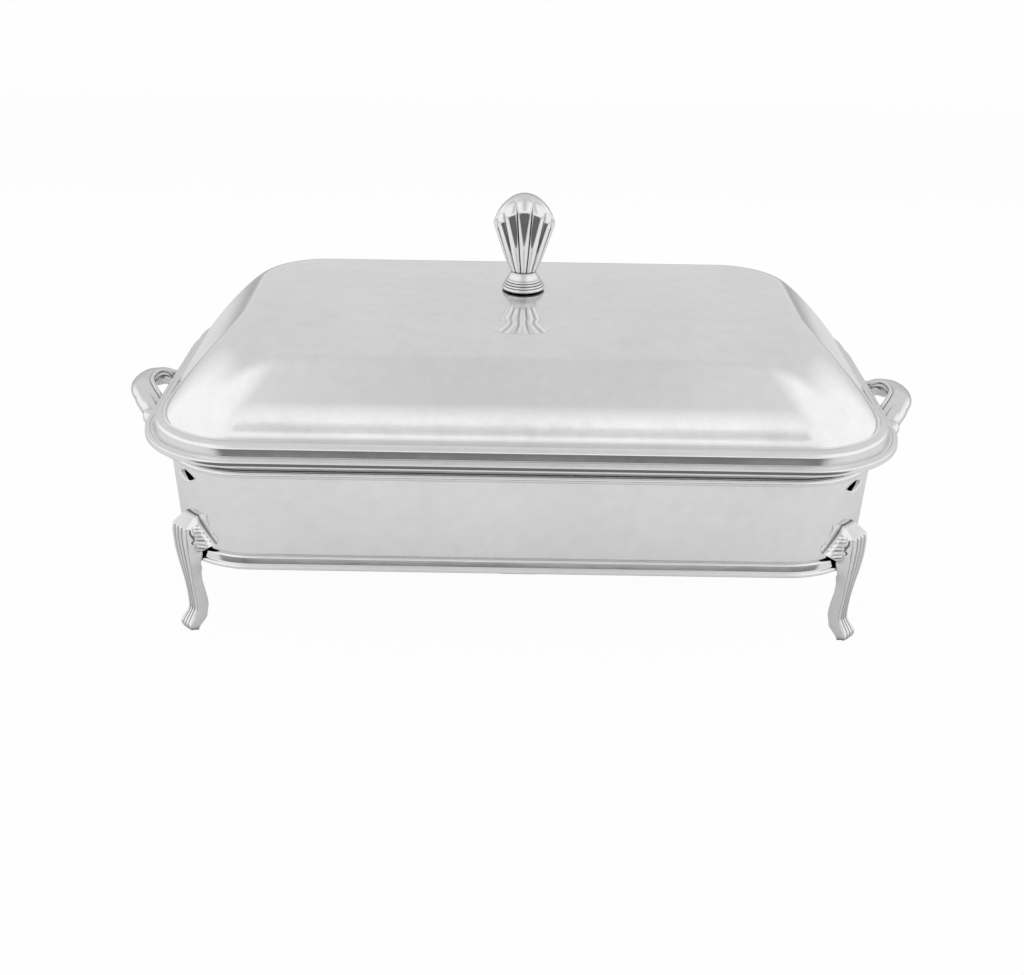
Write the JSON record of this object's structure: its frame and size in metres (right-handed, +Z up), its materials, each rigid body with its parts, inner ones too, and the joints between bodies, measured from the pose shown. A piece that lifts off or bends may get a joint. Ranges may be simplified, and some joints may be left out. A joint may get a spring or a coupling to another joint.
{
  "type": "chafing dish",
  "caption": "Rectangular silver-plated chafing dish on cabriole feet, with a lift-off domed lid, nested pans and spirit burners on a pull-out tray.",
  "frame": {"origin": "on the table, under the middle of the dish", "axes": "+X along the dish to the right, -Y to the front, +Z up"},
  "size_m": [0.4234, 0.2074, 0.2088],
  "materials": {
    "silver_plate": "mirror-polished silver plate with fine cleaning scratches",
    "stainless_steel": "satin",
    "brass": "satin, lightly tarnished",
    "wick_fibre": "matted fibre"
  },
  "bodies": {
    "stand": {"body_shell": "silver_plate", "top_bead": "silver_plate", "base_moulding": "silver_plate", "left_handle": "silver_plate", "right_handle": "silver_plate", "handle_screws": "stainless_steel", "front_left_foot": "silver_plate", "front_right_foot": "silver_plate", "rear_left_foot": "silver_plate", "rear_right_foot": "silver_plate", "foot_screws": "stainless_steel", "left_tray_rail": "stainless_steel", "right_tray_rail": "stainless_steel", "rail_rivets": "stainless_steel"},
    "water_pan": {"water_pan": "stainless_steel"},
    "food_pan": {"food_pan": "stainless_steel"},
    "lid": {"lid_dome": "silver_plate", "lid_rim": "silver_plate", "lid_bezel": "silver_plate", "knob": "silver_plate", "knob_collar": "silver_plate", "knob_stud": "stainless_steel", "knob_washer": "stainless_steel", "knob_nut": "stainless_steel"},
    "tray": {"burner_tray": "stainless_steel"},
    "left_burner": {"left_burner_cup": "brass", "left_burner_wick": "wick_fibre", "left_snuffer_pivot": "stainless_steel"},
    "right_burner": {"right_burner_cup": "brass", "right_burner_wick": "wick_fibre", "right_snuffer_pivot": "stainless_steel"},
    "left_snuffer": {"left_snuffer": "brass"},
    "right_snuffer": {"right_snuffer": "brass"}
  },
  "joints": [
    {"name": "water_pan_lift", "type": "slide", "parent": "stand", "child": "water_pan", "axis": [0, 0, 1], "range_m": [0, 0.1]},
    {"name": "food_pan_lift", "type": "slide", "parent": "water_pan", "child": "food_pan", "axis": [0, 0, 1], "range_m": [0, 0.1]},
    {"name": "lid_lift", "type": "slide", "parent": "food_pan", "child": "lid", "axis": [0, 0, 1], "range_m": [0, 0.12]},
    {"name": "tray_slide", "type": "slide", "parent": "stand", "child": "tray", "axis": [0, -1, 0], "range_m": [0, 0.15]},
    {"name": "left_burner_lift", "type": "slide", "parent": "tray", "child": "left_burner", "axis": [0, 0, 1], "range_m": [0, 0.017]},
    {"name": "right_burner_lift", "type": "slide", "parent": "tray", "child": "right_burner", "axis": [0, 0, 1], "range_m": [0, 0.017]},
    {"name": "left_snuffer_swing", "type": "hinge", "parent": "left_burner", "child": "left_snuffer", "pos_m": [-0.075, 0.022, 0.035], "axis": [0, 0, 1], "range_deg": [0, 110]},
    {"name": "right_snuffer_swing", "type": "hinge", "parent": "right_burner", "child": "right_snuffer", "pos_m": [0.075, 0.022, 0.035], "axis": [0, 0, 1], "range_deg": [-110, 0]}
  ]
}
